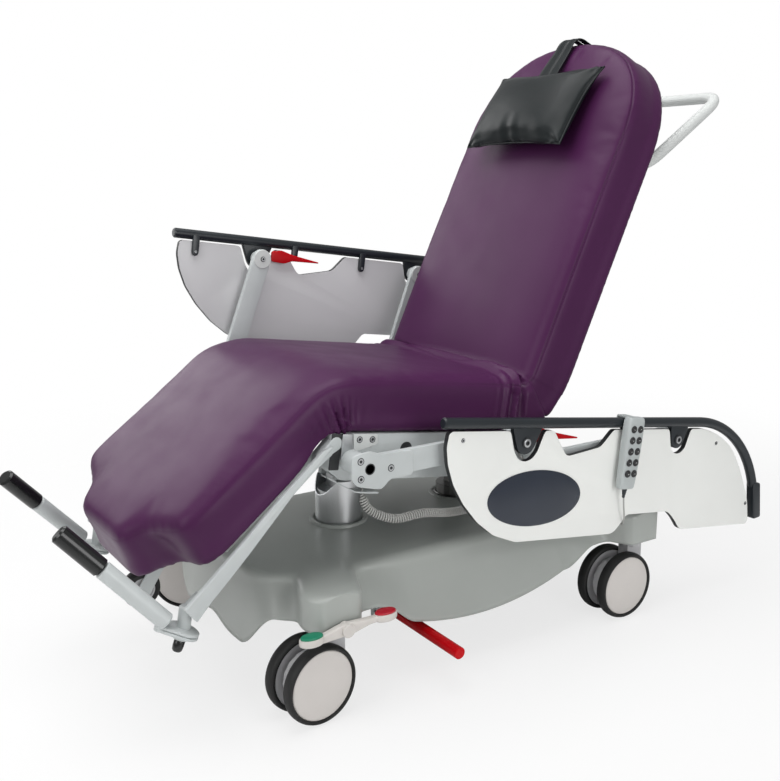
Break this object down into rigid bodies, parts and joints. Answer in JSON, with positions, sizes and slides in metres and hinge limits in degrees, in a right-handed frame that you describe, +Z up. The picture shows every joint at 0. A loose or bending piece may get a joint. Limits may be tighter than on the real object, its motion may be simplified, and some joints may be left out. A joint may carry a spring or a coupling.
{
  "type": "dialysis chair",
  "caption": "Mobile treatment chair on twin castors: lifting columns, tilting seat, reclining back with push bar, hinged leg rest and drop-down armrests with a hand control.",
  "frame": {"origin": "on the floor, on the chair's middle plane, halfway between the front and rear castor wheel centres", "axes": "+X to the patient's left, +Y from the foot end to the head end, +Z up"},
  "size_m": [0.7646, 1.6097, 1.2743],
  "materials": {
    "purple_vinyl": "satin upholstery vinyl over foam",
    "dark_leatherette": "satin leatherette over soft filling",
    "grey_paint": "light grey powder coat",
    "grey_moulding": "grey moulded plastic, slightly glossy",
    "white_laminate": "white laminate and light grey plastic",
    "black_plastic": "black plastic, satin",
    "tyre_rubber": "black rubber, matt",
    "brushed_steel": "satin steel",
    "pale_plastic": "pale plastic",
    "red_plastic": "red plastic and paint",
    "green_plastic": "green plastic",
    "grey_cord": "grey cord sheath"
  },
  "bodies": {
    "base": {"base_chassis": "grey_paint", "base_cover": "grey_moulding", "front_column": "brushed_steel", "rear_column": "brushed_steel"},
    "front_lift": {"front_ram": "brushed_steel"},
    "rear_lift": {"rear_ram": "brushed_steel"},
    "seat": {"seat_deck": "grey_paint", "seat_beam_left": "grey_paint", "seat_beam_right": "grey_paint", "control_box": "black_plastic", "back_actuator": "black_plastic", "leg_actuator": "black_plastic", "seat_cushion": "purple_vinyl", "cord_socket": "black_plastic", "handset_curly_cord": "grey_cord"},
    "leg_rest": {"leg_frame": "grey_paint", "roller_fork": "grey_paint", "leg_cushion": "purple_vinyl"},
    "leg_rod": {"leg_actuator_rod": "brushed_steel"},
    "back_rest": {"back_board": "grey_paint", "push_bar": "grey_paint", "back_cushion": "purple_vinyl", "pillow": "dark_leatherette", "pillow_strap": "dark_leatherette"},
    "brake": {"brake_pedal": "pale_plastic", "brake_pad_green": "green_plastic", "brake_pad_red": "red_plastic"},
    "red_lever": {"foot_lever": "red_plastic"},
    "roller": {"roller_wheel": "tyre_rubber"},
    "arm_front_left": {"arm_left_front": "grey_paint"},
    "arm_rear_left": {"arm_left_rear": "grey_paint"},
    "armrest_left": {"rail_left": "black_plastic", "panel_left": "white_laminate", "handset_body": "white_laminate", "handset_keypad": "black_plastic", "handset_lead": "grey_cord"},
    "release_left": {"release_lever_left": "red_plastic"},
    "handle_left": {"handle_tube_left": "grey_paint", "handle_grip_left": "black_plastic"},
    "plunger_left": {"handle_plunger_left": "black_plastic"},
    "arm_front_right": {"arm_right_front": "grey_paint"},
    "arm_rear_right": {"arm_right_rear": "grey_paint"},
    "armrest_right": {"rail_right": "black_plastic", "panel_right": "white_laminate"},
    "release_right": {"release_lever_right": "red_plastic"},
    "handle_right": {"handle_tube_right": "grey_paint", "handle_grip_right": "black_plastic"},
    "plunger_right": {"handle_plunger_right": "black_plastic"},
    "castor_front_left": {"castor_front_left_fork": "grey_paint"},
    "wheel_front_left_left": {"castor_front_left_wheel_left": "tyre_rubber"},
    "wheel_front_left_right": {"castor_front_left_wheel_right": "tyre_rubber"},
    "castor_rear_left": {"castor_rear_left_fork": "grey_paint"},
    "wheel_rear_left_left": {"castor_rear_left_wheel_left": "tyre_rubber"},
    "wheel_rear_left_right": {"castor_rear_left_wheel_right": "tyre_rubber"},
    "castor_front_right": {"castor_front_right_fork": "grey_paint"},
    "wheel_front_right_left": {"castor_front_right_wheel_left": "tyre_rubber"},
    "wheel_front_right_right": {"castor_front_right_wheel_right": "tyre_rubber"},
    "castor_rear_right": {"castor_rear_right_fork": "grey_paint"},
    "wheel_rear_right_left": {"castor_rear_right_wheel_left": "tyre_rubber"},
    "wheel_rear_right_right": {"castor_rear_right_wheel_right": "tyre_rubber"}
  },
  "joints": [
    {"name": "lift", "type": "slide", "parent": "base", "child": "front_lift", "axis": [0, 0, 1], "range_m": [0, 0.15]},
    {"name": "tilt", "type": "hinge", "parent": "front_lift", "child": "seat", "pos_m": [0, -0.156, 0.36], "axis": [1, 0, 0], "range_deg": [-3, 7.9]},
    {"name": "rear_lift_slide", "type": "slide", "parent": "front_lift", "child": "rear_lift", "axis": [0, 0, 1], "range_m": [-0.018, 0.046]},
    {"name": "leg_hinge", "type": "hinge", "parent": "seat", "child": "leg_rest", "pos_m": [0, -0.31363, 0.49785], "axis": [1, 0, 0], "range_deg": [-46, 8]},
    {"name": "leg_rod_slide", "type": "slide", "parent": "seat", "child": "leg_rod", "axis": [0, 0.9906, -0.1368], "range_m": [-0.064, 0.012]},
    {"name": "back_hinge", "type": "hinge", "parent": "seat", "child": "back_rest", "pos_m": [0, 0.17481, 0.50775], "axis": [1, 0, 0], "range_deg": [-72.6, 3]},
    {"name": "arm_swing_left", "type": "hinge", "parent": "seat", "child": "arm_front_left", "pos_m": [0, -0.28518, 0.46263], "axis": [1, 0, 0], "range_deg": [0, 69]},
    {"name": "arm_rail_left", "type": "hinge", "parent": "arm_front_left", "child": "armrest_left", "pos_m": [0, 0.05782, 0.46347], "axis": [1, 0, 0], "range_deg": [-69, 0]},
    {"name": "arm_rear_swing_left", "type": "hinge", "parent": "seat", "child": "arm_rear_left", "pos_m": [0, 0.15465, 0.40191], "axis": [1, 0, 0], "range_deg": [0, 69]},
    {"name": "release_left", "type": "hinge", "parent": "armrest_left", "child": "release_left", "pos_m": [0, 0.11808, 0.46121], "axis": [1, 0, 0], "range_deg": [0, 8], "stiffness_Nm_per_rad": 0.6, "springref_deg": -8.59},
    {"name": "handle_swing_left", "type": "hinge", "parent": "leg_rest", "child": "handle_left", "pos_m": [0.238, -0.60981, 0.20496], "axis": [0, -0.3695, -0.9292], "range_deg": [-100, 0]},
    {"name": "plunger_pull_left", "type": "slide", "parent": "handle_left", "child": "plunger_left", "axis": [0, -0.3695, -0.9292], "range_m": [0, 0.006], "stiffness_N_per_m": 400, "springref_m": -0.004},
    {"name": "arm_swing_right", "type": "hinge", "parent": "seat", "child": "arm_front_right", "pos_m": [0, -0.28518, 0.46263], "axis": [1, 0, 0], "range_deg": [-69, 0]},
    {"name": "arm_rail_right", "type": "hinge", "parent": "arm_front_right", "child": "armrest_right", "pos_m": [0, -0.16304, 0.78315], "axis": [1, 0, 0], "range_deg": [0, 69]},
    {"name": "arm_rear_swing_right", "type": "hinge", "parent": "seat", "child": "arm_rear_right", "pos_m": [0, 0.15465, 0.40191], "axis": [1, 0, 0], "range_deg": [-69, 0]},
    {"name": "release_right", "type": "hinge", "parent": "armrest_right", "child": "release_right", "pos_m": [0, -0.10278, 0.78089], "axis": [1, 0, 0], "range_deg": [0, 8], "stiffness_Nm_per_rad": 0.6, "springref_deg": -8.59},
    {"name": "handle_swing_right", "type": "hinge", "parent": "leg_rest", "child": "handle_right", "pos_m": [-0.238, -0.60981, 0.20496], "axis": [0, -0.3695, -0.9292], "range_deg": [0, 100]},
    {"name": "plunger_pull_right", "type": "slide", "parent": "handle_right", "child": "plunger_right", "axis": [0, -0.3695, -0.9292], "range_m": [0, 0.006], "stiffness_N_per_m": 400, "springref_m": -0.004},
    {"name": "swivel_front_left", "type": "hinge", "parent": "base", "child": "castor_front_left", "pos_m": [0.287, -0.345, 0.15], "axis": [0, 0, 1], "continuous": true},
    {"name": "spin_front_left_left", "type": "hinge", "parent": "castor_front_left", "child": "wheel_front_left_left", "pos_m": [0.29191, -0.39174, 0.075], "axis": [0.9945, 0.1045, 0], "continuous": true},
    {"name": "spin_front_left_right", "type": "hinge", "parent": "castor_front_left", "child": "wheel_front_left_right", "pos_m": [0.29191, -0.39174, 0.075], "axis": [0.9945, 0.1045, 0], "continuous": true},
    {"name": "swivel_rear_left", "type": "hinge", "parent": "base", "child": "castor_rear_left", "pos_m": [0.287, 0.44, 0.15], "axis": [0, 0, 1], "continuous": true},
    {"name": "spin_rear_left_left", "type": "hinge", "parent": "castor_rear_left", "child": "wheel_rear_left_left", "pos_m": [0.287, 0.393, 0.075], "axis": [1, 0, 0], "continuous": true},
    {"name": "spin_rear_left_right", "type": "hinge", "parent": "castor_rear_left", "child": "wheel_rear_left_right", "pos_m": [0.287, 0.393, 0.075], "axis": [1, 0, 0], "continuous": true},
    {"name": "swivel_front_right", "type": "hinge", "parent": "base", "child": "castor_front_right", "pos_m": [-0.287, -0.345, 0.15], "axis": [0, 0, 1], "continuous": true},
    {"name": "spin_front_right_left", "type": "hinge", "parent": "castor_front_right", "child": "wheel_front_right_left", "pos_m": [-0.30686, -0.3876, 0.075], "axis": [0.9063, -0.4226, 0], "continuous": true},
    {"name": "spin_front_right_right", "type": "hinge", "parent": "castor_front_right", "child": "wheel_front_right_right", "pos_m": [-0.30686, -0.3876, 0.075], "axis": [0.9063, -0.4226, 0], "continuous": true},
    {"name": "swivel_rear_right", "type": "hinge", "parent": "base", "child": "castor_rear_right", "pos_m": [-0.287, 0.44, 0.15], "axis": [0, 0, 1], "continuous": true},
    {"name": "spin_rear_right_left", "type": "hinge", "parent": "castor_rear_right", "child": "wheel_rear_right_left", "pos_m": [-0.27723, 0.39403, 0.075], "axis": [0.9781, 0.2079, 0], "continuous": true},
    {"name": "spin_rear_right_right", "type": "hinge", "parent": "castor_rear_right", "child": "wheel_rear_right_right", "pos_m": [-0.27723, 0.39403, 0.075], "axis": [0.9781, 0.2079, 0], "continuous": true},
    {"name": "brake_rock", "type": "hinge", "parent": "base", "child": "brake", "pos_m": [0, -0.345, 0.178], "axis": [1, 0, 0], "range_deg": [-8, 8]},
    {"name": "foot_lever_press", "type": "hinge", "parent": "base", "child": "red_lever", "pos_m": [0.142, -0.122, 0.088], "axis": [0, 1, 0], "range_deg": [0, 8], "stiffness_Nm_per_rad": 20, "springref_deg": -8.59},
    {"name": "roller_spin", "type": "hinge", "parent": "leg_rest", "child": "roller", "pos_m": [0, -0.59956, 0.19522], "axis": [1, 0, 0], "continuous": true}
  ],
  "couplings": [
    {"joint": "rear_lift_slide", "follows": "tilt", "m_per_rad": 0.3183},
    {"joint": "leg_rod_slide", "follows": "leg_hinge", "m_per_rad": 0.0775},
    {"joint": "arm_rail_left", "follows": "arm_swing_left", "ratio": -1},
    {"joint": "arm_rear_swing_left", "follows": "arm_swing_left", "ratio": 1},
    {"joint": "arm_rail_right", "follows": "arm_swing_right", "ratio": -1},
    {"joint": "arm_rear_swing_right", "follows": "arm_swing_right", "ratio": 1}
  ]
}
